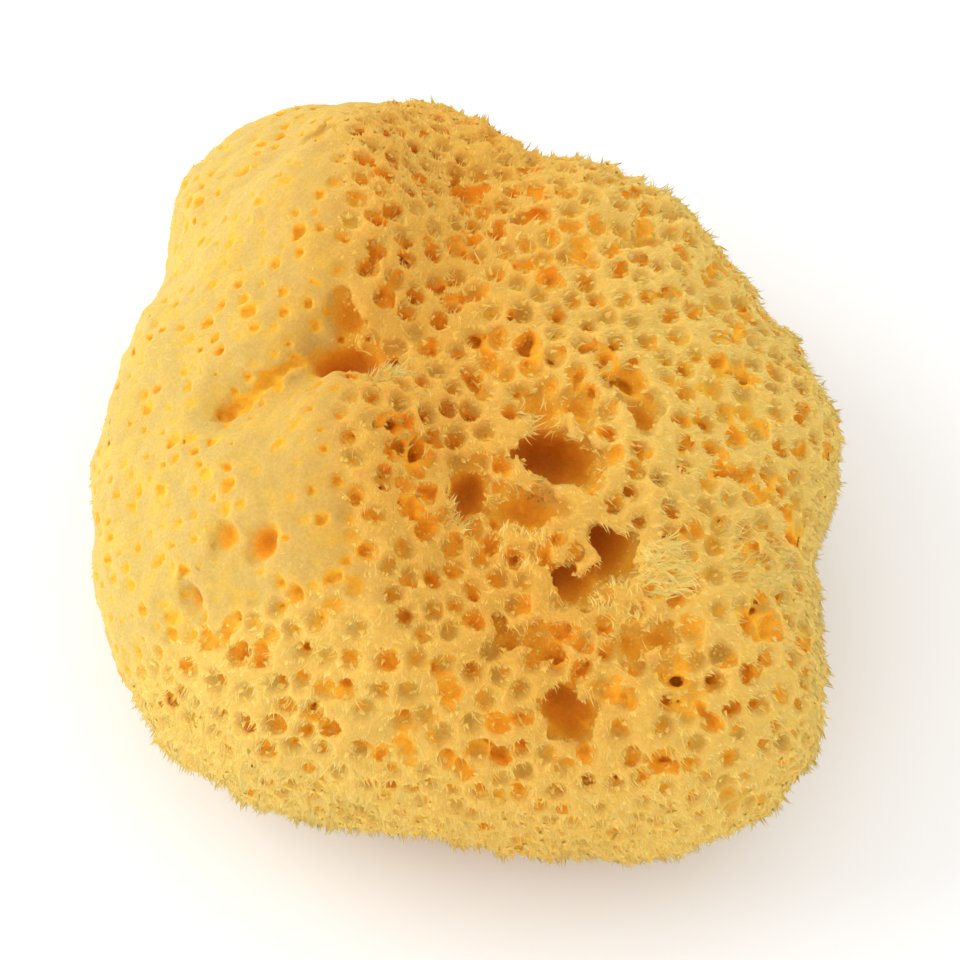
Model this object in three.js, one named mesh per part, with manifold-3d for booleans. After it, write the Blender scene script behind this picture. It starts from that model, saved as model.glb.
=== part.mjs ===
// A natural honeycomb sea sponge, as sold for the bath: one grown piece of soft fibre skeleton, cut off flat
// where it stood on the rock. Millimetres and degrees. +Z is up, +X is right, +Y is back, and the origin is
// under the middle of the sponge, on its flat cut base.
import * as THREE from "three";
import { mergeVertices } from "three/addons/utils/BufferGeometryUtils.js";
import Module from "manifold-3d";

// Driving dimensions of the dome, before its lobes and hollows.
const BELLY_HEIGHT = 36; // the widest outline, above the cut base
const CROWN_RISE = 38; // from the widest outline up to the top
const UNDERSIDE_DROP = 46; // how far the rounded underside would reach below that outline if it weren't cut
const FULLNESS = 2.3; // 2 is an ellipse from the side, and more is boxier
// The widest outline from above: its radius at equal steps of angle, anticlockwise from +X.
const OUTLINE_RADII = [
  74, 69, 66, 67, 69, 67, 76, 85, 91, 86, 73, 76, // from the right, over the back, to the left
  75, 76, 79, 81, 82, 78, 79, 83, 90, 91, 77, 74, // from the left, over the front, back to the right
];
const OUTLINE_STEP = 360 / OUTLINE_RADII.length;

const SKIN_DETAIL = 16; // subdivisions of the icosahedron that the body is made from
const SKIN_COLOUR = 0xe9b84a;

const radians = THREE.MathUtils.degToRad;

// Radius of the widest outline at an angle, on a smooth closed cubic through the listed radii.
function outlineRadius(angle) {
  const turns = THREE.MathUtils.euclideanModulo(angle, 360) / OUTLINE_STEP;
  const index = Math.floor(turns);
  const t = turns - index;
  const radius = (offset) => OUTLINE_RADII[(index + offset + OUTLINE_RADII.length) % OUTLINE_RADII.length];
  const [before, start, end, after] = [radius(-1), radius(0), radius(1), radius(2)];
  const slopeIn = (end - before) / 2;
  const slopeOut = (after - start) / 2;
  const cubic = 2 * start - 2 * end + slopeIn + slopeOut;
  const square = -3 * start + 3 * end - 2 * slopeIn - slopeOut;
  return ((cubic * t + square) * t + slopeIn) * t + start;
}

// The point of the plain dome in a direction from the middle of its widest outline.
function domePoint(direction) {
  const across = Math.hypot(direction.x, direction.y);
  const radius = outlineRadius(THREE.MathUtils.radToDeg(Math.atan2(direction.y, direction.x)));
  const rise = direction.z > 0 ? CROWN_RISE : UNDERSIDE_DROP;
  const reach = (across / radius) ** FULLNESS + (Math.abs(direction.z) / rise) ** FULLNESS;
  return direction.clone().multiplyScalar(reach ** (-1 / FULLNESS));
}

// The point of the plain dome at an angle around the middle of its widest outline and an angle above it.
function toward(azimuth, elevation) {
  const level = Math.cos(radians(elevation));
  const direction = new THREE.Vector3(
    level * Math.cos(radians(azimuth)),
    level * Math.sin(radians(azimuth)),
    Math.sin(radians(elevation)),
  );
  return domePoint(direction);
}

// Lobes that swell out of the dome and, with a negative height, hollows that sink into it.
const SWELLS = [
  { at: toward(132, 46), reach: 25, height: 13 }, // the knob at the back left
  { at: toward(226, 46), reach: 29, height: 12 }, // the left lobe
  { at: toward(259, 28), reach: 26, height: 4 }, // the front lobe
  { at: toward(26, 52), reach: 26, height: 1 }, // the broad right crown
  { at: toward(45, 27), reach: 20, height: 4 }, // the bump at the back right
  { at: toward(306, 30), reach: 15, height: -3 }, // the dip by the right mouths
  { at: toward(344, 2), reach: 13, height: -4 }, // the notch in the right side
  { at: toward(168, 4), reach: 14, height: -4 }, // the waist between the knob and the left lobe
  { at: toward(100, -14), reach: 30, height: 3 },
  { at: toward(215, -14), reach: 26, height: 3 },
  { at: toward(300, -16), reach: 30, height: 3 },
  { at: toward(20, -18), reach: 24, height: 3 },
];

// Long folds of the surface: ridges and, with a negative height, grooves through these places.
const FOLDS = [
  // the ridge over the knob
  { through: [toward(112, 26), toward(125, 51), toward(150, 62)], reach: 9, height: 5 },
  // the ridge over the left lobe
  { through: [toward(216, 63), toward(239, 51), toward(252, 40), toward(262, 31)], reach: 10, height: 5 },
  // the valley to the right of both ridges
  {
    through: [
      toward(96, 36),
      toward(104, 56),
      toward(136, 72),
      toward(232, 72),
      toward(252, 60),
      toward(267, 40),
    ],
    reach: 13,
    height: -7,
  },
  // the crease that parts the knob from the left lobe
  { through: [toward(190, 67), toward(183, 59), toward(193, 51), toward(193, 37)], reach: 5, height: -7 },
].map(({ through, reach, height }) => {
  return { path: new THREE.CatmullRomCurve3(through).getPoints(24), reach, height };
});

// Slow unevenness of the grown surface: three crossed waves, each with its length.
const WAVE_HEIGHT = 0.8;
const WAVE_LENGTHS = [27, 31, 23];

// The mouths of the water canals. Depth is inwards, and turn is the angle of their length from +X, from above.
const MOUTHS = [
  { at: toward(307, 53), length: 18, width: 12, depth: 15, turn: 5 }, // the widest
  { at: toward(305, 34), length: 13, width: 9, depth: 12, turn: 80 },
  { at: toward(293, 32), length: 9, width: 7, depth: 11, turn: 20 },
  { at: toward(285, 18), length: 11, width: 8, depth: 9, turn: 0 },
  { at: toward(270, 51), length: 11, width: 7, depth: 9, turn: 70 },
  { at: toward(287, 47), length: 14, width: 7, depth: 5, turn: 0 }, // a trough between mouths
  { at: toward(318, 65), length: 11, width: 8, depth: 5, turn: 110 },
  { at: toward(332, 58), length: 7, width: 6, depth: 4, turn: 0 },
  { at: toward(342, 45), length: 8, width: 6, depth: 5, turn: -30 },
  { at: toward(303, 22), length: 6, width: 5, depth: 6, turn: 30 },
  { at: toward(298, 23), length: 6, width: 5, depth: 6, turn: 0 },
  { at: toward(277, 29), length: 6, width: 5, depth: 5, turn: 0 },
  { at: toward(283, 27), length: 6, width: 5, depth: 5, turn: 40 },
  { at: toward(41, 36), length: 7, width: 5, depth: 3, turn: 20 },
  { at: toward(186, 60), length: 13, width: 7, depth: 7, turn: 5 }, // at the inner end of the crease
  { at: toward(192, 35), length: 5, width: 4, depth: 4, turn: 30 }, // at its outer end
  { at: toward(168, 62), length: 10, width: 7, depth: 6, turn: 80 },
  { at: toward(119, 32), length: 8, width: 5, depth: 3, turn: -10 }, // on the knob
  { at: toward(228, 35), length: 8, width: 5, depth: 6, turn: 30 }, // the rest are on the left lobe
  { at: toward(220, 31), length: 7, width: 5, depth: 4, turn: 80 },
  { at: toward(222, 21), length: 8, width: 3, depth: 5, turn: 85 },
];

// A smooth bump that falls away with distance.
function bump(distance, reach) {
  return Math.exp(-((distance / reach) ** 2));
}

function swellHeight(point) {
  return SWELLS.reduce((sum, { at, reach, height }) => sum + height * bump(point.distanceTo(at), reach), 0);
}

function foldHeight(point) {
  let sum = 0;
  for (const { path, reach, height } of FOLDS) {
    const distance = Math.min(...path.map((place) => point.distanceTo(place)));
    sum += height * bump(distance, reach);
  }
  return sum;
}

function waveHeight(point) {
  const [alongX, alongY, alongZ] = WAVE_LENGTHS.map((length) => (2 * Math.PI) / length);
  return WAVE_HEIGHT * Math.sin(point.x * alongX) * Math.cos(point.y * alongY + point.z * alongZ);
}

// The point of the grown surface in a direction from the middle of the widest outline.
function skinPoint(direction) {
  const point = domePoint(direction);
  const rise = swellHeight(point) + foldHeight(point) + waveHeight(point);
  return point.addScaledVector(direction, rise);
}

// The grown body, still rounded below.
function bodyGeometry() {
  const geometry = new THREE.IcosahedronGeometry(1, SKIN_DETAIL);
  const places = geometry.getAttribute("position");
  const direction = new THREE.Vector3();
  for (let i = 0; i < places.count; i++) {
    const point = skinPoint(direction.fromBufferAttribute(places, i).normalize());
    places.setXYZ(i, point.x, point.y, point.z + BELLY_HEIGHT);
  }
  return geometry;
}

// What the knife took off below the cut base.
function cutAwayGeometry() {
  const size = 4 * Math.max(...OUTLINE_RADII);
  return new THREE.BoxGeometry(size, size, size).translate(0, 0, -size / 2);
}

// One canal mouth: an egg of space, half of it inside the sponge, square to the surface.
function mouthGeometry({ at, length, width, depth, turn }) {
  const inwards = at.clone().normalize().negate();
  const level = new THREE.Vector3(0, 1, 0).cross(inwards).normalize();
  const middle = skinPoint(at.clone().normalize());
  const along = level.applyAxisAngle(inwards, radians(-turn));
  const across = inwards.clone().cross(along);
  const frame = new THREE.Matrix4().makeBasis(along, across, inwards);
  return new THREE.SphereGeometry(1, 12, 8)
    .scale(length / 2, width / 2, depth)
    .applyMatrix4(frame)
    .translate(middle.x, middle.y, middle.z + BELLY_HEIGHT);
}

const wasm = await Module();
wasm.setup();

function solidOf(geometry) {
  const bare = geometry.clone();
  bare.deleteAttribute("normal");
  bare.deleteAttribute("uv");
  const merged = mergeVertices(bare, 1e-4);
  return new wasm.Manifold(
    new wasm.Mesh({
      numProp: 3,
      vertProperties: merged.getAttribute("position").array,
      triVerts: new Uint32Array(merged.index.array),
    }),
  );
}

function geometryOf(solid) {
  const { vertProperties, triVerts } = solid.getMesh();
  const geometry = new THREE.BufferGeometry();
  geometry.setAttribute("position", new THREE.BufferAttribute(vertProperties, 3));
  geometry.setIndex(new THREE.BufferAttribute(triVerts, 1));
  geometry.computeVertexNormals();
  return geometry;
}

function makeSponge() {
  let solid = solidOf(bodyGeometry()).subtract(solidOf(cutAwayGeometry()));
  for (const mouth of MOUTHS) {
    solid = solid.subtract(solidOf(mouthGeometry(mouth)));
  }
  const material = new THREE.MeshStandardMaterial({ color: SKIN_COLOUR, roughness: 0.9, metalness: 0 });
  const mesh = new THREE.Mesh(geometryOf(solid), material);
  mesh.name = "sponge";
  return mesh;
}

const sponge = new THREE.Group();
sponge.add(makeSponge());

export default sponge;
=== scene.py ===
"""The looks of a natural honeycomb sea sponge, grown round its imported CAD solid.

The solid's skin becomes a distance field. Pores, conules (the small peaks between them) and fine unevenness
are worked into that field, and its surface is the sponge's body. Tufts, fuzz and strands of fibre are then
rooted on the body as meshes.
"""

import math
from types import SimpleNamespace

import bpy
import numpy as np
import openvdb
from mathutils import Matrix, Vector
from mathutils.kdtree import KDTree

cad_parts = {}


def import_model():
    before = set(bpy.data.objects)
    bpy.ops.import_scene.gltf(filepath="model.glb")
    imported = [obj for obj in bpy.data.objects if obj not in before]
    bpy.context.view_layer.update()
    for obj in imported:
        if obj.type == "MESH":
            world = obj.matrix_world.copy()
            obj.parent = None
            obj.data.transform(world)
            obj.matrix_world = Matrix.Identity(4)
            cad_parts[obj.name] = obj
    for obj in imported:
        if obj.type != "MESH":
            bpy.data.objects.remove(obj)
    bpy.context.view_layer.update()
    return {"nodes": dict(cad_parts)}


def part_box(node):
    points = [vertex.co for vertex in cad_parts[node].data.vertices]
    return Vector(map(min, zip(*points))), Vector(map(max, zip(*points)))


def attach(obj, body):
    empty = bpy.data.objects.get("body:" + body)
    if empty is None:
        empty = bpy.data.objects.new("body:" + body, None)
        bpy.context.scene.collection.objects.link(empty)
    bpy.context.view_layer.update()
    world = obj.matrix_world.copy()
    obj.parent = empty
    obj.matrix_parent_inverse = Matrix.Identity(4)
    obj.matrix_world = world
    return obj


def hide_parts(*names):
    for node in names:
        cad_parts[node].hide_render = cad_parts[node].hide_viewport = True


MM = 0.001

# The body is grown in a field: a dense grid of distances to its surface.
VOXEL = 0.5 * MM
FIELD_MARGIN = 5 * MM
SKIN_BAND = 8 * MM  # how far from the solid's skin its distance is known
SKIN_BLUR = 1.2 * MM  # hides the facets of the solid
HULL_VOXEL = 1.5 * MM
HULL_CLOSING = 5.5 * MM  # canal mouths narrower than twice this are closed over in the hull
HULL_DEPTH = 20 * MM  # how far inside the hull its distance is known
UNEVENNESS = [(8 * MM, 0.5 * MM), (3 * MM, 0.36 * MM), (1.4 * MM, 0.16 * MM)]  # how far across, how high
TRIMMED_EVENNESS = 0.45  # how much of that is missing on the trimmed flank
RAGGEDNESS = 0.5 * MM  # of the pores' walls
BODY_TRIANGLES = 190_000  # aimed at, when the body is thinned out

# The sponge was trimmed smooth on its left: left of a ridge, whose (y, x) run from the front to the back in
# millimetres, behind its front and above its foot.
TRIM_RIDGE = [(-60, -10), (-45, -19), (-31, -23), (-14, -21), (11, -23), (28, -24), (54, -26), (75, -14)]
TRIM_FRONT = -52 * MM
TRIM_FOOT = 10 * MM
TRIM_SOFTNESS = 12 * MM  # how far across its edges fade
BELLY_HEIGHT = 36 * MM  # the widest outline, above the base
SIDES_HEIGHT = 58 * MM  # the sides begin to lose their pores here
SIDES_SOFTNESS = 16 * MM

# The regions of the surface: the open honeycomb, the trimmed flank, and the lower sides.
PORE_SPACING = {"honeycomb": 4.2 * MM, "trimmed": 3.6 * MM, "lower": 3.6 * MM}
PORE_RADIUS = {"honeycomb": 0.9 * MM, "trimmed": 0.45 * MM, "lower": 0.4 * MM}
PORE_DEPTH = {"honeycomb": 1.6 * MM, "trimmed": 0.45 * MM, "lower": 0.6 * MM}
CONULE_HEIGHT = {"honeycomb": 1.8 * MM, "trimmed": 0.1 * MM, "lower": 1.0 * MM}
PORE_SIZES = (0.5, 1.45)  # from the least to the greatest, as shares of the radius above
PORE_DEPTHS = (0.5, 1.3)  # the same for the depth
PORE_STRETCH = (1.0, 2.0)  # how much longer than wide a pore is
PORE_TILT = 0.15  # of a pore's axis from straight in, as a tangent
PORE_OVERSHOOT = 0.4  # how far a pore runs on outwards, as a share of its depth
PORE_MOUTH = 1.2  # its radius where it crosses the skin, as a share of the radius above
PORE_TAPER = 0.7  # how much of the radius above is lost from there to its end
PORE_BLEND = 1.0 * MM  # rounds a pore's rim
DOUBLE_PORES = 0.3  # the share of pores with a lesser one grown into them
DOUBLE_OFFSET = 1.4  # how far beside, as a share of the first one's radius
DOUBLE_SIZE = 0.8  # the lesser one's radius, as a share of the first one's
SITE_CANDIDATES = 40_000  # points on the solid, out of which the pores' places are kept
CONULE_REACH = 1.3  # how far from a pore the tallest can be, as a share of the widest spacing
CONULE_FOOT = 0.25  # how far from a pore's middle they begin, as a share of its spacing
CONULE_SLOPE = 0.45  # and how much further their tops are
CANAL_HOLLOW = 1.8 * MM  # below the hull, where the wall of a canal begins
RIM_HOLLOW = 0.8 * MM  # below the hull, where its rim begins
WALL_SPACING = 1.6 * MM  # between the places that keep a canal's wall free of conules
WALL_REACH = 4 * MM  # how far from each of them

# Pores wider than the rest, in millimetres.
WIDE_PORES = [
    (39, -62, 61), (14, -58, 66), (50, -21, 65), (53, 1, 65), (-1, 42, 69),
    (11, 2, 75), (9, 8, 76), (31, -4, 72), (-15, -19, 78), (-11, -24, 76),
]
WIDE_PORE_RADIUS = 1.7 * MM
WIDE_PORE_SIZES = (0.8, 1.2)
WIDE_PORE_DEPTH = 4 * MM
# The crease that parts the knob from the left lobe, in millimetres, as a torn slit in the surface.
CREASE = [(-26, -2, 76), (-33, -2, 75), (-40, -6, 71), (-47, -10, 68)]
CREASE_STEP = 0.9 * MM
CREASE_RADIUS = 0.3 * MM
CREASE_SIZES = (0.6, 1.4)
CREASE_DEPTH = 1.1 * MM

# The fibres.
ROOT_CANDIDATES = 400_000  # points on the body, out of which the roots are picked
ROOT_HEIGHT = 1.5 * MM  # the lowest that one is rooted
FLOOR_GAP = 0.1 * MM  # and the lowest that one reaches down
FIBRE_SIDES = 3
FIBRE_TAPER = 0.8  # 1 tapers evenly, and less keeps its width for longer
TINT_SPREAD = 0.25  # how much more or less golden one is than its place
OUTWARD_SPREAD = 0.35  # how far a fibre's normals turn round it, as a share of how far they lean outwards
CROWN = (-12 * MM, 8 * MM)  # they are combed outwards from here
COMBED_REACH = 45 * MM  # and lie flattest from this far out
SIDES_DROOP = 0.7  # how much they are combed down on the sides, next to 1 for outwards
BARE_SHARE = 0.6  # where the sponge is trimmed more than this there are no tufts
LEAST_SHARE = 0.02  # of the fibres, down in the pores
# The kinds of fibre. Two numbers run from the least to the greatest. These mean the same in each kind:
#   outward and scatter: how strongly they stand out, and how much they differ, next to 1 for lying combed
#   curl: how far they bend over, as a share of their length
#   sink: how far below the surface they begin
#   shorter: how much of their length is missing on the trimmed flank
#   clump and pull: how far apart the clumps are, and how strongly the fibres in one lean together
#   on_skin and rise: the share that grows at the skin, and the height over which the share grows by 1
TUFTS = SimpleNamespace(
    spacing=2.0 * MM,
    blades=19_000,  # at most, in all the tufts together
    half_width=0.55 * MM,
    length=(1.1 * MM, 2.2 * MM),
    width=(0.6 * MM, 1.2 * MM),
    curl=(-0.15, 0.35),
    outward=0.8,
    scatter=0.25,
    turn=0.3,  # how much the fans' directions differ
    converge=0.25,  # how strongly the blades of a fan lean to its middle
    jitter=0.1,  # how much the blades' directions differ
    unevenness=0.2,  # how far a blade is from its place in the fan, next to 1 for half its width
    shoulders=0.35,  # how much shorter the outermost blades are
    sizes=(0.8, 1.1),  # of the blades, as shares of their tuft's length
    sink=0.5 * MM,
    shorter=0.8,
)
COMBED = SimpleNamespace(
    count=19_000,
    length=(1.4 * MM, 2.8 * MM),
    width=(0.28 * MM, 0.5 * MM),
    curl=(-0.3, 0.5),
    outward=0.5,
    scatter=0.3,
    sink=0.15 * MM,
    shorter=0.5,
    clump=1.3 * MM,
    pull=0.75,
    on_skin=0.3,
    rise=1.0 * MM,
    on_top=0.3,  # the share that grows over the top of the sponge
    fewer=0.9,  # how much of them is missing on the trimmed flank
)
FUZZ = SimpleNamespace(
    count=47_000,  # in each of the two thicknesses
    length=(0.6 * MM, 1.6 * MM),
    coarse=0.24 * MM,
    fine=0.14 * MM,
    sizes=(0.7, 1.3),  # of the widths, as shares of the thickness
    curl=(-0.6, 0.9),
    scatter=0.5,
    sink=0.1 * MM,
    shorter=0.65,
    thinner=0.5,  # how much of their width is missing on the trimmed flank
    clump=1.0 * MM,
    pull=0.6,
    on_skin=0.25,
    rise=1.2 * MM,
)
RIMS = SimpleNamespace(
    count=2_200,
    below=4 * RIM_HOLLOW,  # how far below the hull they are still rooted
    length=(1.0 * MM, 3.2 * MM),
    scatter=0.6,
)
TORN = SimpleNamespace(  # those round the rims and those in the fringes
    width=(0.35 * MM, 0.7 * MM),
    curl=(-0.9, 0.9),
    outward=0.3,
    sink=0.2 * MM,
    clump=1.3 * MM,
    pull=0.6,
    paler=0.8,  # than the fibres round them
    fringe_outward=0.45,
    fringe_scatter=0.18,
    fringe_sizes=(0.5, 1.1),  # of the lengths, as shares of the fringe's
)

# The sponge is most golden along its valley, whose (x, y) run from the back to the front in millimetres.
VALLEY = [(-3, 60), (-7, 25), (-10, 7), (-10, -11), (-6, -30), (4, -42), (14, -52)]
GOLDEN_REACH = 34 * MM

# Fringes of long pale fibres at torn edges: the place in millimetres, how far round it they are rooted, which
# way they lie in degrees from +X, their length, and how many they are.
FRINGES = [
    ((36, -42, 67), 6 * MM, -10, 4.2 * MM, 240),
    ((28, -50, 67), 5 * MM, 95, 2.6 * MM, 70),
    ((-15, -5, 76), 5 * MM, 10, 3.0 * MM, 160),
    ((13, -14, 75), 4 * MM, -50, 3.0 * MM, 60),
    ((-1, -35, 74), 4 * MM, 60, 2.6 * MM, 50),
    ((10, -40, 73), 5 * MM, 80, 2.4 * MM, 70),
    ((53, -37, 61), 8 * MM, 5, 3.4 * MM, 160),
]

SEED = 20


# ---------------------------------------------------------------------------------------------- small tools


def smooth_step(t):
    t = np.clip(t, 0.0, 1.0)
    return t * t * (3.0 - 2.0 * t)


def unit(vectors):
    return vectors / np.maximum(np.linalg.norm(vectors, axis=-1, keepdims=True), 1e-12)


class Field:
    """A dense grid of numbers in the row frame. Its first cell's centre is at origin."""

    def __init__(self, origin, voxel, values):
        self.origin = np.asarray(origin, float)
        self.voxel = voxel
        self.values = values

    def sample(self, points):
        """The value at each point, blended from the eight cells round it."""
        at = (points - self.origin) / self.voxel
        limit = np.array(self.values.shape) - 2
        low = np.clip(np.floor(at).astype(int), 0, limit)
        part = np.clip(at - low, 0.0, 1.0)
        result = np.zeros(len(points))
        for corner in np.ndindex(2, 2, 2):
            weight = np.prod(np.where(corner, part, 1.0 - part), axis=1)
            x, y, z = (low + corner).T
            result += weight * self.values[x, y, z]
        return result

    def gradient(self, points):
        """The direction in which the value grows fastest at each point."""
        slopes = []
        for axis in range(3):
            step = np.zeros(3)
            step[axis] = self.voxel
            slopes.append(self.sample(points + step) - self.sample(points - step))
        return unit(np.stack(slopes, axis=1))

    def axes(self):
        """The cells' centres as three broadcastable axes."""
        return self.span(np.zeros(3, int), self.values.shape)

    def span(self, low, high):
        axes = []
        for axis in range(3):
            centres = self.origin[axis] + self.voxel * np.arange(low[axis], high[axis])
            shape = [1, 1, 1]
            shape[axis] = -1
            axes.append(centres.reshape(shape).astype(np.float32))
        return axes

    def around(self, point, reach):
        """The slices of the cells within reach of a point, and their centres as three broadcastable axes."""
        at = (np.asarray(point) - self.origin) / self.voxel
        span = reach / self.voxel
        low = np.maximum(np.ceil(at - span).astype(int), 0)
        high = np.minimum(np.floor(at + span).astype(int) + 1, self.values.shape)
        cells = tuple(slice(a, b) for a, b in zip(low, high))
        return cells, self.span(low, high)


def blurred(values, sigma):
    """Values blurred along each axis. Sigma is in cells."""
    radius = int(math.ceil(2.5 * sigma))
    taps = np.exp(-0.5 * (np.arange(-radius, radius + 1) / sigma) ** 2)
    taps = (taps / taps.sum()).astype(np.float32)
    for axis in range(3):
        padding = [(0, 0)] * 3
        padding[axis] = (radius, radius)
        padded = np.pad(values, padding, mode="edge")
        result = np.zeros_like(values)
        for i, tap in enumerate(taps):
            window = [slice(None)] * 3
            window[axis] = slice(i, i + values.shape[axis])
            result += tap * padded[tuple(window)]
        values = result
    return values


def spline_weights(count, coarse_step):
    """A matrix that spreads a coarse row of numbers over count cells on a smooth cubic."""
    at = np.arange(count) / coarse_step
    index = np.floor(at).astype(int)
    t = at - index
    weights = np.zeros((count, int(index.max()) + 4), np.float32)
    rows = np.arange(count)
    weights[rows, index] = (1 - t) ** 3 / 6
    weights[rows, index + 1] = (3 * t**3 - 6 * t**2 + 4) / 6
    weights[rows, index + 2] = (-3 * t**3 + 3 * t**2 + 3 * t + 1) / 6
    weights[rows, index + 3] = t**3 / 6
    return weights


def smooth_noise(shape, coarse_step, random):
    """Smooth noise about zero, of about unit size, whose features are coarse_step cells across."""
    matrices = [spline_weights(count, coarse_step) for count in shape]
    values = random.standard_normal([m.shape[1] for m in matrices]).astype(np.float32)
    for axis, matrix in enumerate(matrices):
        values = np.moveaxis(np.tensordot(matrix, values, axes=(1, axis)), 0, axis)
    return values / values.std()


# ------------------------------------------------------------------------------------------------ the field


def mesh_arrays(mesh):
    """The vertices and triangles of a Blender mesh."""
    points = np.empty(len(mesh.vertices) * 3)
    mesh.vertices.foreach_get("co", points)
    mesh.calc_loop_triangles()
    triangles = np.empty(len(mesh.loop_triangles) * 3, np.int32)
    mesh.loop_triangles.foreach_get("vertices", triangles)
    return points.reshape(-1, 3), triangles.reshape(-1, 3)


def distance_grid(voxel, reach, points, **faces):
    """A level set of a closed surface, negative inside it and right out to reach."""
    faces = {kind: np.ascontiguousarray(corners, np.uint32) for kind, corners in faces.items()}
    transform = openvdb.createLinearTransform(voxel)
    return openvdb.FloatGrid.createLevelSetFromPolygons(
        points, transform=transform, halfWidth=reach / voxel, **faces
    )


def dense(grid, voxel, low_corner, high_corner):
    """The cells of a level set between two corners as a dense field."""
    low = np.floor(low_corner / voxel).astype(int)
    high = np.ceil(high_corner / voxel).astype(int)
    values = np.empty(high - low, np.float32)
    grid.copyToArray(values, ijk=tuple(int(i) for i in low))
    return Field(low * voxel, voxel, values)


def skin_field(points, triangles):
    """Distance to the solid's skin, negative inside it, with the facets smoothed away."""
    grid = distance_grid(VOXEL, SKIN_BAND, points, triangles=triangles)
    skin = dense(grid, VOXEL, points.min(axis=0) - FIELD_MARGIN, points.max(axis=0) + FIELD_MARGIN)
    skin.values = blurred(skin.values, SKIN_BLUR / VOXEL)
    return skin


def hull_field(points, triangles):
    """Distance to the skin as it would be with its canal mouths closed over.

    The skin is grown outwards until the mouths close, and the same distance is taken off again.
    """
    grid = distance_grid(HULL_VOXEL, HULL_CLOSING + 2 * HULL_VOXEL, points, triangles=triangles)
    grown, _, quads = grid.convertToPolygons(HULL_CLOSING, 0.0)
    grid = distance_grid(HULL_VOXEL, HULL_CLOSING + HULL_DEPTH, grown, quads=quads)
    hull = dense(grid, HULL_VOXEL, points.min(axis=0) - FIELD_MARGIN, points.max(axis=0) + FIELD_MARGIN)
    hull.values = blurred(hull.values + HULL_CLOSING, 1.0)
    return hull


# ---------------------------------------------------------------------------------------------- the regions


def trimmed_share(x, y, z):
    """1 on the flank that was trimmed smooth, 0 where the sponge keeps its tufts."""
    ridge = np.array(TRIM_RIDGE) * MM
    ridge_x = np.interp(y, ridge[:, 0], ridge[:, 1])
    left = smooth_step((ridge_x - x) / TRIM_SOFTNESS + 0.5)
    behind = smooth_step((y - TRIM_FRONT) / TRIM_SOFTNESS + 0.5)
    above = smooth_step((z - TRIM_FOOT) / TRIM_SOFTNESS + 0.5)
    return left * behind * above


def lower_share(z):
    """1 on the steep sides and on the base, 0 over the top."""
    return smooth_step((SIDES_HEIGHT - z) / SIDES_SOFTNESS)


def golden_share(x, y):
    """1 along the valley, falling away to 0 towards the edges."""
    points = np.stack([x, y], axis=-1)
    nearest = np.full(np.shape(x), np.inf)
    for start, end in zip(VALLEY, VALLEY[1:]):
        start, end = np.array(start) * MM, np.array(end) * MM
        along = np.clip((points - start) @ (end - start) / ((end - start) @ (end - start)), 0, 1)
        nearest = np.minimum(nearest, np.linalg.norm(points - start - along[:, None] * (end - start), axis=1))
    return np.exp(-((nearest / GOLDEN_REACH) ** 2))


def by_region(values, x, y, z):
    """A size that goes from one region's to the next's from place to place."""
    lower = lower_share(z)
    trimmed = trimmed_share(x, y, z)
    size = values["honeycomb"] * (1 - lower) + values["lower"] * lower
    return size * (1 - trimmed) + values["trimmed"] * trimmed


# ------------------------------------------------------------------------------------------------- the body


def surface_points(points, triangles, count, random):
    """Points spread evenly at random over a mesh, and the triangle that each is on."""
    a, b, c = (points[triangles[:, i]] for i in range(3))
    areas = np.linalg.norm(np.cross(b - a, c - a), axis=1)
    chosen = random.choice(len(triangles), count, p=areas / areas.sum())
    u, v = random.random((2, count, 1))
    over = u + v > 1
    u, v = np.where(over, 1 - u, u), np.where(over, 1 - v, v)
    return a[chosen] + u * (b[chosen] - a[chosen]) + v * (c[chosen] - a[chosen]), chosen


def spread_out(points, spacing):
    """Which points to keep so that each is at least its own spacing from those kept before it."""
    cell = float(spacing.max())
    kept, grid = [], {}
    keys = np.floor(points / cell).astype(int)
    steps = list(np.ndindex(3, 3, 3))
    for i, (x, y, z) in enumerate(keys.tolist()):
        near = [j for dx, dy, dz in steps for j in grid.get((x + dx - 1, y + dy - 1, z + dz - 1), ())]
        if near and ((points[near] - points[i]) ** 2).sum(axis=1).min() < spacing[i] ** 2:
            continue
        grid.setdefault((x, y, z), []).append(i)
        kept.append(i)
    return np.array(kept)


def raise_conules(field, skin, sites):
    """Raises the surface between the pores, most where three of them meet."""
    reach = CONULE_REACH * max(PORE_SPACING.values())
    nearest = np.full(field.values.shape, reach**2, np.float32)
    for site in sites:
        cells, (x, y, z) = field.around(site, reach)
        squared = (x - site[0]) ** 2 + (y - site[1]) ** 2 + (z - site[2]) ** 2
        nearest[cells] = np.minimum(nearest[cells], squared)
    x, y, z = field.axes()
    sideways = np.sqrt(np.maximum(nearest - skin.values**2, 0))
    share = smooth_step((sideways / by_region(PORE_SPACING, x, y, z) - CONULE_FOOT) / CONULE_SLOPE)
    field.values -= (by_region(CONULE_HEIGHT, x, y, z) * share).astype(np.float32)


def keep_open(field, skin, walls):
    """Takes off what stands proud of the solid in its canals, less and less away from their walls."""
    for site in walls:
        cells, (x, y, z) = field.around(site, WALL_REACH)
        distance = np.sqrt((x - site[0]) ** 2 + (y - site[1]) ** 2 + (z - site[2]) ** 2)
        allowed = np.maximum(distance - WALL_SPACING, 0)
        field.values[cells] = np.maximum(field.values[cells], skin.values[cells] - allowed)


def smooth_max(a, b, blend):
    share = np.clip(0.5 + 0.5 * (a - b) / blend, 0.0, 1.0)
    return b + (a - b) * share + blend * share * (1.0 - share)


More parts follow.
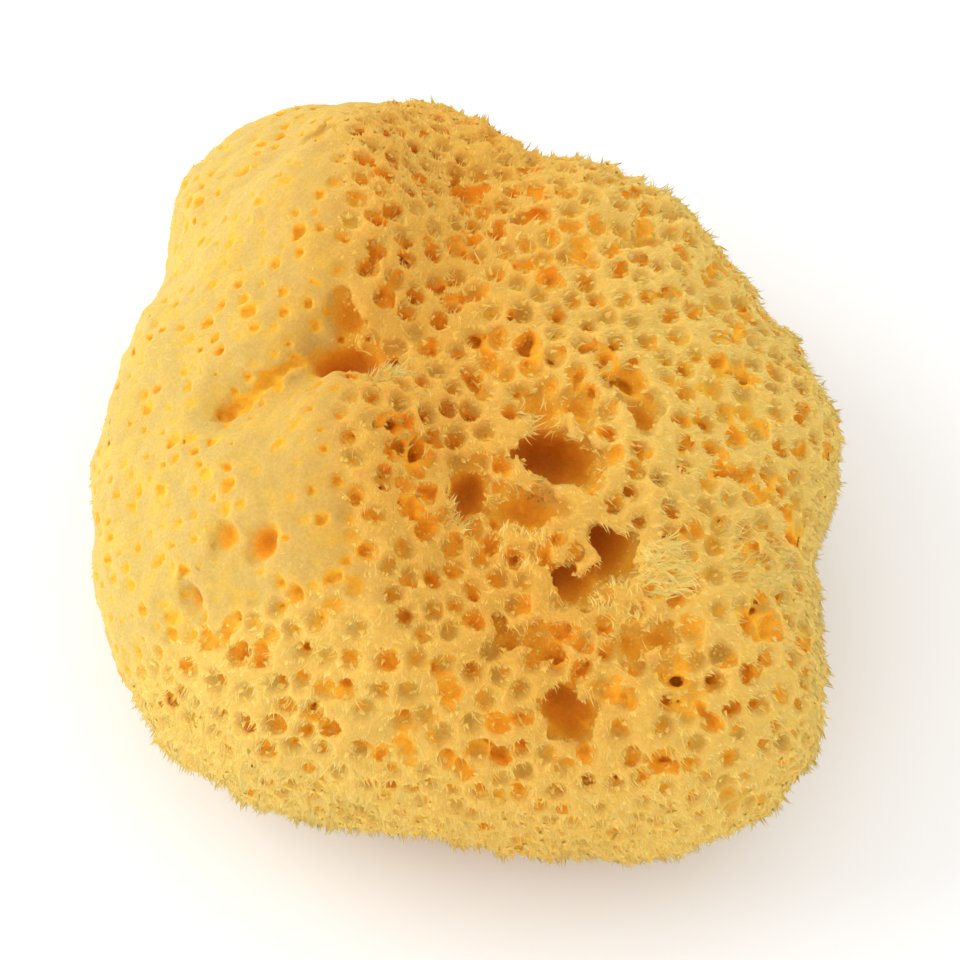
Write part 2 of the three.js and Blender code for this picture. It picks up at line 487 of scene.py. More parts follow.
def carve_pore(field, raggedness, site, inward, across, radius, depth, stretch):
    """Takes out a tapering, round-ended hole that is wider along across."""
    middle = site + inward * depth * PORE_OVERSHOOT
    cells, (x, y, z) = field.around(middle, 2 * PORE_OVERSHOOT * depth + radius * stretch)
    x, y, z = x - site[0], y - site[1], z - site[2]
    along = np.clip((x * inward[0] + y * inward[1] + z * inward[2]) / depth, -PORE_OVERSHOOT, 1.0)
    x, y, z = (part - along * depth * inward[i] for i, part in enumerate((x, y, z)))
    wide = x * across[0] + y * across[1] + z * across[2]
    squared = x**2 + y**2 + z**2 - (1 - 1 / stretch**2) * wide**2
    wall = np.sqrt(np.maximum(squared, 0)) - radius * (PORE_MOUTH - PORE_TAPER * along)
    wall += raggedness[cells]
    field.values[cells] = smooth_max(field.values[cells], -wall, PORE_BLEND)


def carve_pores(field, skin, raggedness, sites, radius, depth, random, doubled=DOUBLE_PORES):
    """Carves a pore at each site, and a lesser one beside some of them."""
    count = len(sites)
    inward = unit(PORE_TILT * random.standard_normal((count, 3)) - skin.gradient(sites))
    across = unit(np.cross(inward, random.standard_normal((count, 3))))
    stretch = random.uniform(*PORE_STRETCH, count)
    for i in range(count):
        carve_pore(field, raggedness, sites[i], inward[i], across[i], radius[i], depth[i], stretch[i])
        if random.random() < doubled:
            beside = sites[i] + DOUBLE_OFFSET * radius[i] * np.cross(inward[i], across[i])
            lesser = DOUBLE_SIZE * radius[i]
            carve_pore(field, raggedness, beside, inward[i], across[i], lesser, depth[i], stretch[i])


def onto_skin(skin, points):
    """Points moved straight to the nearest skin."""
    for _ in range(3):
        points = points - skin.sample(points)[:, None] * skin.gradient(points)
    return points


def along_path(corners, step):
    """Points at equal steps along a path."""
    lengths = np.append(0, np.linalg.norm(np.diff(corners, axis=0), axis=1).cumsum())
    at = np.arange(0, lengths[-1], step)
    return np.column_stack([np.interp(at, lengths, corners[:, axis]) for axis in range(3)])


def largest_part(points, faces):
    """The part of a mesh that hangs together and has the most faces."""
    labels = np.arange(len(points))
    ends = faces[:, [0, 1]], faces[:, [1, 2]], faces[:, [2, 3]]
    pairs = np.concatenate(ends)
    while True:
        lowest = labels.copy()
        np.minimum.at(lowest, pairs[:, 0], labels[pairs[:, 1]])
        np.minimum.at(lowest, pairs[:, 1], labels[pairs[:, 0]])
        lowest = lowest[lowest]
        if np.array_equal(lowest, labels):
            break
        labels = lowest
    of_faces = labels[faces[:, 0]]
    names, counts = np.unique(of_faces, return_counts=True)
    faces = faces[of_faces == names[counts.argmax()]]
    used, renumbered = np.unique(faces, return_inverse=True)
    return points[used], renumbered.reshape(-1, 4)


def new_mesh(name, points, faces):
    """A smooth-shaded mesh object from arrays. All faces have the same number of corners."""
    mesh = bpy.data.meshes.new(name)
    corners = faces.shape[1]
    mesh.vertices.add(len(points))
    mesh.vertices.foreach_set("co", np.ascontiguousarray(points, np.float32).ravel())
    mesh.loops.add(faces.size)
    mesh.loops.foreach_set("vertex_index", np.ascontiguousarray(faces, np.int32).ravel())
    mesh.polygons.add(len(faces))
    mesh.polygons.foreach_set("loop_start", np.arange(0, faces.size, corners, dtype=np.int32))
    mesh.polygons.foreach_set("use_smooth", np.ones(len(faces), bool))
    mesh.update(calc_edges=True)
    made = bpy.data.objects.new(name, mesh)
    bpy.context.scene.collection.objects.link(made)
    return made


def apply_modifiers(piece):
    """Makes the mesh what its modifiers make of it."""
    evaluated = piece.evaluated_get(bpy.context.evaluated_depsgraph_get())
    mesh = bpy.data.meshes.new_from_object(evaluated)
    piece.modifiers.clear()
    piece.data = mesh


def add_unevenness(field, random):
    """Makes the surface uneven, less so on the trimmed flank, and gives the finest of the unevenness."""
    evenness = 1 - TRIMMED_EVENNESS * trimmed_share(*field.axes()).astype(np.float32)
    for across, height in UNEVENNESS:
        waves = smooth_noise(field.values.shape, across / field.voxel, random)
        field.values += height * waves * evenness
    return waves


def pore_sites(hull, points, triangles, random):
    """Where the pores are, and the places that keep the canals' walls free of conules."""
    candidates, _ = surface_points(points, triangles, SITE_CANDIDATES, random)
    hollow = -hull.sample(candidates)
    walls = candidates[hollow > RIM_HOLLOW]
    walls = walls[spread_out(walls, np.full(len(walls), WALL_SPACING))]
    candidates = candidates[hollow < CANAL_HOLLOW]
    sites = candidates[spread_out(candidates, by_region(PORE_SPACING, *candidates.T))]
    return sites, walls


def carve_all(field, skin, raggedness, sites, random):
    """Carves the pores of all the regions, then the wide ones and the crease."""
    radius = by_region(PORE_RADIUS, *sites.T) * random.uniform(*PORE_SIZES, len(sites))
    depth = by_region(PORE_DEPTH, *sites.T) * random.uniform(*PORE_DEPTHS, len(sites))
    carve_pores(field, skin, raggedness, sites, radius, depth, random)
    wide = onto_skin(skin, np.array(WIDE_PORES) * MM)
    radius = WIDE_PORE_RADIUS * random.uniform(*WIDE_PORE_SIZES, len(wide))
    carve_pores(field, skin, raggedness, wide, radius, np.full(len(wide), WIDE_PORE_DEPTH), random)
    slit = onto_skin(skin, along_path(np.array(CREASE) * MM, CREASE_STEP))
    radius = CREASE_RADIUS * random.uniform(*CREASE_SIZES, len(slit))
    carve_pores(field, skin, raggedness, slit, radius, np.full(len(slit), CREASE_DEPTH), random, doubled=0)


def grow_body(skin, hull, points, triangles, random):
    """Two fields: the body with its unevenness, conules and pores, and the same before the pores."""
    field = Field(skin.origin, skin.voxel, skin.values.copy())
    raggedness = RAGGEDNESS * add_unevenness(field, random)
    sites, walls = pore_sites(hull, points, triangles, random)
    raise_conules(field, skin, np.concatenate([sites, walls]))
    keep_open(field, skin, walls)
    uncarved = Field(field.origin, field.voxel, field.values.copy())
    carve_all(field, skin, raggedness, sites, random)
    _, _, z = field.axes()
    field.values = np.maximum(field.values, -z)
    return field, uncarved


def body_piece(field):
    """The field's surface as a mesh, thinned to the number of triangles wanted."""
    limit = 3 * field.voxel
    grid = openvdb.FloatGrid(limit)
    grid.copyFromArray(np.ascontiguousarray(np.clip(field.values, -limit, limit), np.float32))
    points, _, quads = grid.convertToPolygons(0.0, 0.0)
    points, quads = largest_part(points * field.voxel + field.origin, quads[:, ::-1].astype(np.int64))
    body = new_mesh("sponge_body", points, quads)
    thin = body.modifiers.new("thin", "DECIMATE")
    thin.ratio = BODY_TRIANGLES / (2 * len(quads))
    apply_modifiers(body)
    body.data.polygons.foreach_set("use_smooth", np.ones(len(body.data.polygons), bool))
    return body


# ----------------------------------------------------------------------------------------------- the fibres


def fibre_piece(name, places, roots, directions, lengths, widths, curls, segments, random):
    """One mesh of many fibres, each a three-sided spine that curls over and tapers to a point.

    Their normals lean outwards, because light comes through so fine a fibre from all sides.
    """
    count = len(places)
    bend = unit(np.cross(directions, random.standard_normal((count, 3))))
    sides = np.stack([bend, np.cross(directions, bend)], axis=1)
    turns = 2 * math.pi * np.arange(FIBRE_SIDES) / FIBRE_SIDES
    ring = np.stack([np.cos(turns), np.sin(turns)], axis=1)
    rings = []
    for level in range(segments):
        t = level / segments
        centres = places + (lengths * t)[:, None] * (directions + (curls * t)[:, None] * bend)
        radii = 0.5 * widths * (1 - t) ** FIBRE_TAPER
        offsets = np.einsum("rs,nsc->nrc", ring, sides) * radii[:, None, None]
        rings.append(centres[:, None, :] + offsets)
    tips = places + lengths[:, None] * (directions + curls[:, None] * bend)
    points = np.concatenate([*rings, tips[:, None, :]], axis=1)

    faces = [[2, 1, 0]]
    tip = segments * FIBRE_SIDES
    for side in range(FIBRE_SIDES):
        after = (side + 1) % FIBRE_SIDES
        for level in range(segments - 1):
            low, high = level * FIBRE_SIDES, (level + 1) * FIBRE_SIDES
            faces.append([low + side, low + after, high + after])
            faces.append([low + side, high + after, high + side])
        low = (segments - 1) * FIBRE_SIDES
        faces.append([low + side, low + after, tip])
    per_fibre = tip + 1
    faces = (np.array(faces)[None] + per_fibre * np.arange(count)[:, None, None]).reshape(-1, 3)
    points = points.reshape(-1, 3)
    points[:, 2] = np.maximum(points[:, 2], FLOOR_GAP)
    piece = new_mesh(name, points, faces)

    along = np.append(np.repeat(np.arange(segments) / segments, FIBRE_SIDES), 1.0)
    along = np.tile(along, count)
    tint = np.clip(roots["golden"] + random.uniform(-TINT_SPREAD, TINT_SPREAD, count), 0, 1)
    tint = np.repeat(tint, per_fibre)
    corners = np.stack([tint, along], axis=1)[faces.ravel()]
    layer = piece.data.uv_layers.new(name="OFBake")
    layer.data.foreach_set("uv", corners.astype(np.float32).ravel())
    normals = np.repeat(roots["outward"], per_fibre, axis=0)
    normals = unit(normals + OUTWARD_SPREAD * unit(points - np.repeat(places, per_fibre, axis=0)))
    piece.data.normals_split_custom_set_from_vertices(normals.tolist())
    piece.visible_shadow = False
    piece.visible_diffuse = False
    return piece


def fibre_roots(body, skin, hull, random):
    """Points on the body with what the fibres there need to know."""
    points, triangles = mesh_arrays(body.data)
    places, chosen = surface_points(points, triangles, ROOT_CANDIDATES, random)
    normals = np.empty(len(points) * 3)
    body.data.vertices.foreach_get("normal", normals)
    normals = normals.reshape(-1, 3)
    outward = hull.gradient(places)
    away = places[:, :2] - CROWN
    combed = unit(np.column_stack([away, np.zeros(len(places))])) * smooth_step(
        np.linalg.norm(away, axis=1, keepdims=True) / COMBED_REACH
    )
    lower = lower_share(places[:, 2])
    combed[:, 2] -= SIDES_DROOP * lower
    combed -= (combed * outward).sum(axis=1, keepdims=True) * outward
    return {
        "place": places,
        "normal": unit(normals[triangles[chosen]].mean(axis=1)),
        "outward": outward,
        "combed": combed,
        "height": skin.sample(places),
        "hollow": -hull.sample(places),
        "trimmed": trimmed_share(*places.T),
        "lower": lower,
        "golden": golden_share(*places.T[:2]),
    }


def pick(roots, chosen):
    return {name: values[chosen] for name, values in roots.items()}


def draw(roots, share, count, random):
    """Roots drawn at random by their share."""
    share = share * (roots["place"][:, 2] > ROOT_HEIGHT) * (roots["hollow"] < CANAL_HOLLOW)
    return pick(roots, random.choice(len(share), count, replace=False, p=share / share.sum()))


def clumped(places, directions, lengths, spacing, strength, random):
    """Directions turned so that the fibres of each clump lean together into one point."""
    middles = random.permutation(len(places))
    middles = middles[spread_out(places[middles], np.full(len(places), spacing))]
    tree = KDTree(len(middles))
    for i, place in enumerate(places[middles].tolist()):
        tree.insert(place, i)
    tree.balance()
    nearest = middles[[tree.find(place)[1] for place in places.tolist()]]
    points = places[nearest] + directions[nearest] * lengths[nearest][:, None]
    return unit((1 - strength) * directions + strength * unit(points - places))


def on_walls(roots, kind):
    """How thickly a kind of fibre grows by height: most on the walls, hardly at all down in the pores."""
    return np.clip(kind.on_skin + roots["height"] / kind.rise, LEAST_SHARE, 1.0)


def tuft_roots(roots):
    """A root for each tuft, where the walls between the pores stand highest."""
    wanted = (roots["height"] > 0) & (roots["trimmed"] < BARE_SHARE)
    wanted &= (roots["place"][:, 2] > 2 * ROOT_HEIGHT) & (roots["hollow"] < CANAL_HOLLOW)
    roots = pick(roots, wanted)
    return pick(roots, spread_out(roots["place"], np.full(len(roots["place"]), TUFTS.spacing)))


def pointed_tufts(name, roots, random):
    """Tufts on the walls between the pores, each a fan of blades that meet in a point."""
    roots = tuft_roots(roots)
    tufts = len(roots["place"])
    per_root = max(1, TUFTS.blades // tufts)
    scatter = TUFTS.scatter * random.standard_normal((tufts, 3))
    lean = unit(TUFTS.outward * roots["outward"] + roots["combed"] + scatter)
    side = unit(np.cross(lean, roots["outward"]) + TUFTS.turn * random.standard_normal((tufts, 3)))
    reach = random.uniform(*TUFTS.length, tufts) * (1 - TUFTS.shorter * roots["trimmed"])
    fan = np.linspace(-1, 1, per_root)
    lean, side, reach = (np.repeat(values, per_root, axis=0) for values in (lean, side, reach))
    roots = pick(roots, np.repeat(np.arange(tufts), per_root))
    count = len(roots["place"])
    offset = np.tile(fan, tufts) + random.uniform(-TUFTS.unevenness, TUFTS.unevenness, count)
    inward = TUFTS.converge * offset[:, None] * side
    direction = unit(lean - inward + TUFTS.jitter * random.standard_normal((count, 3)))
    lengths = reach * (1 - TUFTS.shoulders * np.abs(offset)) * random.uniform(*TUFTS.sizes, count)
    places = roots["place"] + TUFTS.half_width * offset[:, None] * side - TUFTS.sink * direction
    widths = random.uniform(*TUFTS.width, count)
    curls = random.uniform(*TUFTS.curl, count)
    return fibre_piece(name, places, roots, direction, lengths, widths, curls, 2, random)


def combed_fibres(name, roots, random):
    """Long fibres that lie along the surface, mostly on the sides."""
    count = COMBED.count
    share = (COMBED.on_top + (1 - COMBED.on_top) * roots["lower"]) * (1 - COMBED.fewer * roots["trimmed"])
    roots = draw(roots, share * on_walls(roots, COMBED), count, random)
    scatter = COMBED.scatter * random.standard_normal((count, 3))
    direction = unit(COMBED.outward * roots["outward"] + roots["combed"] + scatter)
    lengths = random.uniform(*COMBED.length, count) * (1 - COMBED.shorter * roots["trimmed"])
    direction = clumped(roots["place"], direction, lengths, COMBED.clump, COMBED.pull, random)
    widths = random.uniform(*COMBED.width, count)
    curls = random.uniform(*COMBED.curl, count)
    places = roots["place"] - COMBED.sink * direction
    return fibre_piece(name, places, roots, direction, lengths, widths, curls, 2, random)


def fuzz(name, roots, thickness, random):
    """Short fibres all over, thicker on the walls than down in the pores."""
    count = FUZZ.count
    roots = draw(roots, on_walls(roots, FUZZ), count, random)
    direction = unit(roots["normal"] + FUZZ.scatter * random.standard_normal((count, 3)) + roots["combed"])
    lengths = random.uniform(*FUZZ.length, count) * (1 - FUZZ.shorter * roots["trimmed"])
    direction = clumped(roots["place"], direction, lengths, FUZZ.clump, FUZZ.pull, random)
    widths = random.uniform(*FUZZ.sizes, count) * thickness * (1 - FUZZ.thinner * roots["trimmed"])
    curls = random.uniform(*FUZZ.curl, count)
    places = roots["place"] - FUZZ.sink * direction
    return fibre_piece(name, places, roots, direction, lengths, widths, curls, 1, random)


def rim_fibres(roots, random):
    """Which roots round the rims of the canals have a torn fibre, with its direction and length."""
    rim = (roots["hollow"] > RIM_HOLLOW) & (roots["hollow"] < RIMS.below) & (roots["trimmed"] < BARE_SHARE)
    rim &= roots["place"][:, 2] > SIDES_HEIGHT
    chosen = random.choice(np.flatnonzero(rim), RIMS.count, replace=False)
    heading = roots["normal"][chosen] + RIMS.scatter * random.standard_normal((RIMS.count, 3))
    return chosen, heading, random.uniform(*RIMS.length, RIMS.count)


def fringe_fibres(roots, place, reach, turn, length, count, random):
    """The same for one fringe."""
    distance = np.linalg.norm(roots["place"] - np.array(place) * MM, axis=1)
    near = np.flatnonzero((distance < reach) & (roots["hollow"] < RIMS.below))
    near = random.choice(near, min(count, len(near)), replace=False)
    lie = np.array([math.cos(math.radians(turn)), math.sin(math.radians(turn)), 0])
    scatter = TORN.fringe_scatter * random.standard_normal((len(near), 3))
    heading = lie + TORN.fringe_outward * roots["outward"][near] + scatter
    return near, heading, length * random.uniform(*TORN.fringe_sizes, len(near))


def torn_fibres(name, roots, random):
    """Long curling fibres round the rims of the canals, and thick fringes of them at the torn edges."""
    groups = [rim_fibres(roots, random)]
    for fringe in FRINGES:
        groups.append(fringe_fibres(roots, *fringe, random))
    chosen, heading, lengths = (np.concatenate(values) for values in zip(*groups))
    roots = pick(roots, chosen)
    direction = unit(heading + TORN.outward * roots["outward"])
    direction = clumped(roots["place"], direction, lengths, TORN.clump, TORN.pull, random)
    widths = random.uniform(*TORN.width, len(lengths))
    curls = random.uniform(*TORN.curl, len(lengths))
    roots["golden"] = roots["golden"] - TORN.paler
    places = roots["place"] - TORN.sink * direction
    return fibre_piece(name, places, roots, direction, lengths, widths, curls, 3, random)


# --------------------------------------------------------------------------------------------- the materials

# What the body's colours go by.
PIT_DEPTH = 1.3 * MM  # how deep in a pore the painted amber glow is full
CREST_RISE = 1.4 * MM  # over how much height above the skin the walls turn pale with the painted highlight
CREST_ON_SKIN = 0.3  # how much of the painted highlight they have at the skin
CANAL_START = 0.6 * MM  # how far down a canal the painted amber glow begins
CANAL_DEPTH = 11 * MM  # and how much further down it is fully the painted brown shade
CANAL_EDGE = 6.0  # how sharply the canals' painted glow and shade set in
CANAL_DELAY = 0.1  # and how far they are held back from the rims
# how far the painted highlight pushes the walls' tops towards the palest colour
CREST_HIGHLIGHT_STRENGTH = 0.25
BLOTCH_STRENGTH = 0.5
BLOTCH_OFFSET = -0.15
BLOTCHES_PER_METRE = 180
FLECKS_PER_METRE = 1600
GRAIN_PER_METRE = 2200
GRAIN_HEIGHT = 0.3 * MM
FELT_GLOW = 3.0 * MM  # how far light spreads inside the body

BAKE_HALF = 0.47  # of a bake cell, so that the cells stay apart

# A painted highlight: the walls' tops paler, standing in for light through the thin walls.
CREST_HIGHLIGHT = (0.71, 0.49, 0.13)
PALE = (0.68, 0.42, 0.08)
GOLD = (0.80, 0.44, 0.05)
# A painted glow of light scattered down in the pores, made lighter there to cancel their shade.
AMBER_GLOW = (0.90, 0.47, 0.035)
# Painted shade, darkening down the canals to brown.
ORANGE_SHADE = (0.74, 0.27, 0.014)
BROWN_SHADE = (0.42, 0.085, 0.006)
TRIMMED_PALE = (0.61, 0.44, 0.14)
TRIMMED_GOLD = (0.72, 0.49, 0.09)
# The same painted glow, in the pores of the trimmed flank.
TRIMMED_AMBER_GLOW = (0.86, 0.50, 0.045)
GOLDEN_TINT = (0.94, 0.75, 0.5)
FLECK_DARK = (0.90, 0.86, 0.70)
WHITE = (1.0, 1.0, 1.0)
FIBRE_ROOT = (0.79, 0.49, 0.075)
FIBRE_MIDDLE = (0.84, 0.58, 0.13)
# A painted glow of light through the thin tips of the fibres.
FIBRE_TIP_GLOW = (0.93, 0.76, 0.29)


def add_attribute(mesh, name, values):
    layer = mesh.attributes.new(name, "FLOAT", "POINT")
    layer.data.foreach_set("value", np.ascontiguousarray(values, np.float32))


def add_colour_attributes(mesh, skin, hull, uncarved):
    """What the body's material goes by, from 0 to 1 at each vertex."""
    places, _ = mesh_arrays(mesh)
    trimmed = trimmed_share(*places.T)
    height = skin.sample(places)
    # the share of painted highlight on the walls' tops
    crest_highlight = np.clip(height / CREST_RISE + CREST_ON_SKIN, 0, 1) * (1 - trimmed)
    hollow = np.minimum(height, 0) - hull.sample(places)
    # how deep below the unpored surface a point is, which sets the painted amber glow of the pores
    add_attribute(mesh, "pit_glow", np.clip(-uncarved.sample(places) / PIT_DEPTH, 0, 1))
    add_attribute(mesh, "crest_highlight", crest_highlight)
    # how deep in a canal a point is, which sets the painted glow and painted shade there
    add_attribute(mesh, "canal_glow_and_shade", np.clip((hollow - CANAL_START) / CANAL_DEPTH, 0, 1))
    add_attribute(mesh, "golden", golden_share(*places.T[:2]))
    add_attribute(mesh, "trimmed", trimmed)


def add_bake_map(mesh, centre):
    """A UV map for baking: each face goes to the side of a cube round the centre that it is seen through."""
    points, triangles = mesh_arrays(mesh)
    rays = points[triangles] - centre
    middle = rays.mean(axis=1)
    axis = np.abs(middle).argmax(axis=1)
    rows = np.arange(len(triangles))
    positive = middle[rows, axis] > 0
    depth = np.abs(rays[rows, :, axis])
    first = rays[rows, :, (axis + 1) % 3] / depth
    second = rays[rows, :, (axis + 2) % 3] / depth
    u = (axis[:, None] + 0.5 + BAKE_HALF * first) / 3
    v = (positive[:, None] + 0.5 + BAKE_HALF * second) / 2
    layer = mesh.uv_layers.new(name="OFBake")
    layer.data.foreach_set("uv", np.stack([u, v], axis=2).astype(np.float32).ravel())


def new_material(name):
    material = bpy.data.materials.new(name)
    material.use_nodes = True
    nodes, links = material.node_tree.nodes, material.node_tree.links
    return material, nodes, links, nodes["Principled BSDF"]


def ramp(nodes, stops):
    node = nodes.new("ShaderNodeValToRGB")
    elements = node.color_ramp.elements
    while len(elements) > 1:
        elements.remove(elements[-1])
    for i, (position, colour) in enumerate(stops):
        element = elements[0] if i == 0 else elements.new(position)
        element.position = position
        element.color = (*colour, 1.0)
    return node


def attribute(nodes, name):
    node = nodes.new("ShaderNodeAttribute")
    node.attribute_name = name
    return node.outputs["Fac"]


def math_node(nodes, links, operation, *values):
    node = nodes.new("ShaderNodeMath")
    node.operation = operation
    for socket, value in zip(node.inputs, values):
        if isinstance(value, (int, float)):
            socket.default_value = value
        else:
            links.new(value, socket)
    return node.outputs[0]


def mix_colours(nodes, links, blend, share, a, b):
    node = nodes.new("ShaderNodeMix")
    node.data_type = "RGBA"
    node.blend_type = blend
    for socket, value in zip((node.inputs[0], node.inputs[6], node.inputs[7]), (share, a, b)):
        if isinstance(value, bpy.types.NodeSocket):
            links.new(value, socket)
        else:
            socket.default_value = value if socket == node.inputs[0] else (*value, 1.0)
    return node.outputs[2]


def noise(nodes, links, place, per_metre, detail):
    node = nodes.new("ShaderNodeTexNoise")
    node.inputs["Scale"].default_value = per_metre
    node.inputs["Detail"].default_value = detail
    links.new(place, node.inputs["Vector"])
    return node.outputs["Fac"]


def coloured(nodes, links, share, stops):
    """The colour at a share of the way along a ramp."""
    node = ramp(nodes, stops)
    links.new(share, node.inputs["Fac"])
    return node.outputs["Color"]


def wall_colour(nodes, links, place):
    """The walls and pores: crests pale with a painted highlight, golden sides, and pits in a painted amber
    glow. The trimmed flank has its own.
    """
    blotches = noise(nodes, links, place, BLOTCHES_PER_METRE, 5.0)
    wobble = math_node(nodes, links, "MULTIPLY_ADD", blotches, BLOTCH_STRENGTH, BLOTCH_OFFSET)
    # the painted amber glow grows with depth in the pores, with random blotches
    pit_glow = math_node(nodes, links, "ADD", attribute(nodes, "pit_glow"), wobble)
    # the painted highlight on the walls' tops pulls the colour back towards the palest
    pit_glow = math_node(nodes, links, "MULTIPLY_ADD", attribute(nodes, "crest_highlight"), -CREST_HIGHLIGHT_STRENGTH, pit_glow)
    walls = coloured(nodes, links, pit_glow, [(0.0, CREST_HIGHLIGHT), (0.16, PALE), (0.35, GOLD), (0.8, AMBER_GLOW)])
    stops = [(0.08, TRIMMED_PALE), (0.25, TRIMMED_GOLD), (0.5, TRIMMED_AMBER_GLOW)]
    trimmed_walls = coloured(nodes, links, pit_glow, stops)
    colour = mix_colours(nodes, links, "MIX", attribute(nodes, "trimmed"), walls, trimmed_walls)
    tint = coloured(nodes, links, attribute(nodes, "golden"), [(0.0, WHITE), (1.0, GOLDEN_TINT)])
    return mix_colours(nodes, links, "MULTIPLY", 1.0, colour, tint)


def body_colour(nodes, links, place):
    """The walls' colour, with a painted amber glow to painted brown shade down in the canals, and fine flecks
    all over.
    """
    canal_glow_and_shade = attribute(nodes, "canal_glow_and_shade")
    # a painted glow near the canals' rims, darkening to painted shade deep down
    inside = coloured(nodes, links, canal_glow_and_shade, [(0.0, AMBER_GLOW), (0.35, ORANGE_SHADE), (0.9, BROWN_SHADE)])
    share = math_node(nodes, links, "MULTIPLY_ADD", canal_glow_and_shade, CANAL_EDGE, -CANAL_DELAY)
    colour = mix_colours(nodes, links, "MIX", share, wall_colour(nodes, links, place), inside)
    flecks = noise(nodes, links, place, FLECKS_PER_METRE, 2.0)
    felt = coloured(nodes, links, flecks, [(0.3, FLECK_DARK), (0.7, WHITE)])
    return mix_colours(nodes, links, "MULTIPLY", 1.0, colour, felt)


def felt_bump(nodes, links, place):
    """The finest felt, as a bump."""
    bump = nodes.new("ShaderNodeBump")
    bump.inputs["Strength"].default_value = 0.6
    bump.inputs["Distance"].default_value = GRAIN_HEIGHT
    links.new(noise(nodes, links, place, GRAIN_PER_METRE, 3.0), bump.inputs["Height"])
    return bump.outputs["Normal"]


def body_material():
    """Horny fibre: a painted highlight on the walls' tops, a painted amber glow in the pores and painted
    brown shade deep in the canals.
    """
    material, nodes, links, shader = new_material("sponge_fibre_body")
    place = nodes.new("ShaderNodeTexCoord").outputs["Object"]
    links.new(body_colour(nodes, links, place), shader.inputs["Base Color"])
    links.new(felt_bump(nodes, links, place), shader.inputs["Normal"])
    shader.inputs["Roughness"].default_value = 0.9
    shader.inputs["Specular IOR Level"].default_value = 0.15
    shader.inputs["Subsurface Weight"].default_value = 0.8
    shader.inputs["Subsurface Radius"].default_value = (1.0, 0.5, 0.12)
    shader.inputs["Subsurface Scale"].default_value = FELT_GLOW
    return material


def fibre_material():
    """Single fibres: golden at the root, paler to the tip in a painted glow of light through it, and more
    golden along the valley.
    """
    material, nodes, links, shader = new_material("sponge_fibre_tufts")
    where = nodes.new("ShaderNodeUVMap")
    where.uv_map = "OFBake"
    split = nodes.new("ShaderNodeSeparateXYZ")
    links.new(where.outputs["UV"], split.inputs[0])
    # paler to the tip: a painted glow of light shining through the fibre
    stops = [(0.0, FIBRE_ROOT), (0.5, FIBRE_MIDDLE), (1.0, FIBRE_TIP_GLOW)]
    along = coloured(nodes, links, split.outputs["Y"], stops)
    tint = coloured(nodes, links, split.outputs["X"], [(0.0, WHITE), (1.0, GOLDEN_TINT)])
    links.new(mix_colours(nodes, links, "MULTIPLY", 1.0, along, tint), shader.inputs["Base Color"])
    shader.inputs["Roughness"].default_value = 0.8
    shader.inputs["Specular IOR Level"].default_value = 0.2
    return material


# ------------------------------------------------------------------------------------------------- the scene

CAMERA_ELEVATION = 60
CAMERA_LENS = 100
CAMERA_DISTANCE = 540 * MM
AIM_FROM_MIDDLE = (2.8 * MM, -4.9 * MM, -8.9 * MM)  # of the solid's box

LIGHT_DISTANCE = 1.2
LIGHT_SIZE = 0.9
KEY_DIRECTION = (-0.85, 0.15, 0.6)
KEY_POWER = 6
FILL_DIRECTION = (-0.6, -1.0, 0.3)
FILL_POWER = 1.8
SKY_STRENGTH = 1.14
FLOOR_HALF = 2.5
FLOOR_GREY = 0.86


def add_camera(box):
    data = bpy.data.cameras.new("camera")
    data.lens = CAMERA_LENS
    camera = bpy.data.objects.new("camera", data)
    bpy.context.scene.collection.objects.link(camera)
    low, high = box
    aim = (low + high) / 2 + Vector(AIM_FROM_MIDDLE)
    tilt = math.radians(CAMERA_ELEVATION)
    back = Vector((0, -math.cos(tilt), math.sin(tilt)))
    camera.location = aim + back * CAMERA_DISTANCE
    camera.rotation_mode = "QUATERNION"
    camera.rotation_quaternion = (-back).to_track_quat("-Z", "Y")
    bpy.context.scene.camera = camera


def add_area_light(name, box, direction, power):
    data = bpy.data.lights.new(name, "AREA")
    data.shape = "DISK"
    data.size = LIGHT_SIZE
    data.energy = power
    light = bpy.data.objects.new(name, data)
    bpy.context.scene.collection.objects.link(light)
    low, high = box
    towards = Vector(direction).normalized()
    light.location = (low + high) / 2 + towards * LIGHT_DISTANCE
    light.rotation_mode = "QUATERNION"
    light.rotation_quaternion = towards.to_track_quat("Z", "Y")


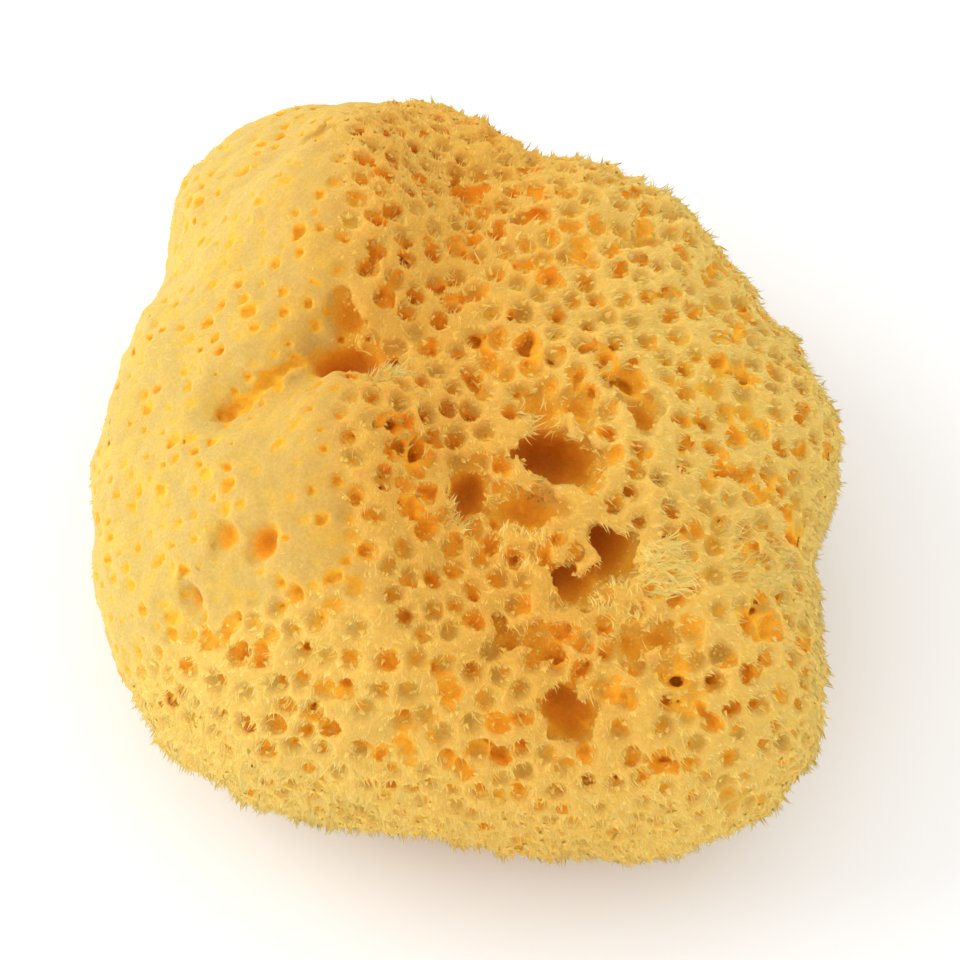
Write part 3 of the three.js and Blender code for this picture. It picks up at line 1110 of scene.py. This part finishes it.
def add_floor():
    corners = FLOOR_HALF * np.array([[-1, -1, 0], [1, -1, 0], [1, 1, 0], [-1, 1, 0]])
    floor = new_mesh("floor", corners, np.array([[0, 1, 2, 3]]))
    material, _, _, shader = new_material("floor")
    shader.inputs["Base Color"].default_value = (FLOOR_GREY, FLOOR_GREY, FLOOR_GREY, 1)
    shader.inputs["Roughness"].default_value = 0.9
    floor.data.materials.append(material)


def add_world():
    world = bpy.data.worlds.new("studio")
    world.use_nodes = True
    background = world.node_tree.nodes["Background"]
    background.inputs["Color"].default_value = (1.0, 1.0, 1.0, 1)
    background.inputs["Strength"].default_value = SKY_STRENGTH
    bpy.context.scene.world = world


def make_body(skin, hull, points, triangles, random):
    """The sponge's body with its material."""
    field, uncarved = grow_body(skin, hull, points, triangles, random)
    body = body_piece(field)
    add_colour_attributes(body.data, skin, hull, uncarved)
    add_bake_map(body.data, np.array([0, 0, BELLY_HEIGHT]))
    body.data.materials.append(body_material())
    return body


def make_fibres(body, skin, hull, random):
    """All that is rooted on the body, with its material."""
    roots = fibre_roots(body, skin, hull, random)
    fibres = [
        pointed_tufts("sponge_tufts", roots, random),
        combed_fibres("sponge_combed", roots, random),
        fuzz("sponge_fuzz_1", roots, FUZZ.coarse, random),
        fuzz("sponge_fuzz_2", roots, FUZZ.fine, random),
        torn_fibres("sponge_torn_edges", roots, random),
    ]
    material = fibre_material()
    for piece in fibres:
        piece.data.materials.append(material)
    return fibres


def main():
    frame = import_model()
    random = np.random.default_rng(SEED)

    points, triangles = mesh_arrays(frame["nodes"]["sponge"].data)
    skin = skin_field(points, triangles)
    hull = hull_field(points, triangles)
    body = make_body(skin, hull, points, triangles, random)
    for piece in [body, *make_fibres(body, skin, hull, random)]:
        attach(piece, "root")
        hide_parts("sponge")

    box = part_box("sponge")
    add_camera(box)
    add_area_light("key", box, KEY_DIRECTION, KEY_POWER)
    add_area_light("fill", box, FILL_DIRECTION, FILL_POWER)
    add_world()
    add_floor()
    bpy.context.scene.view_settings.view_transform = "Standard"


main()
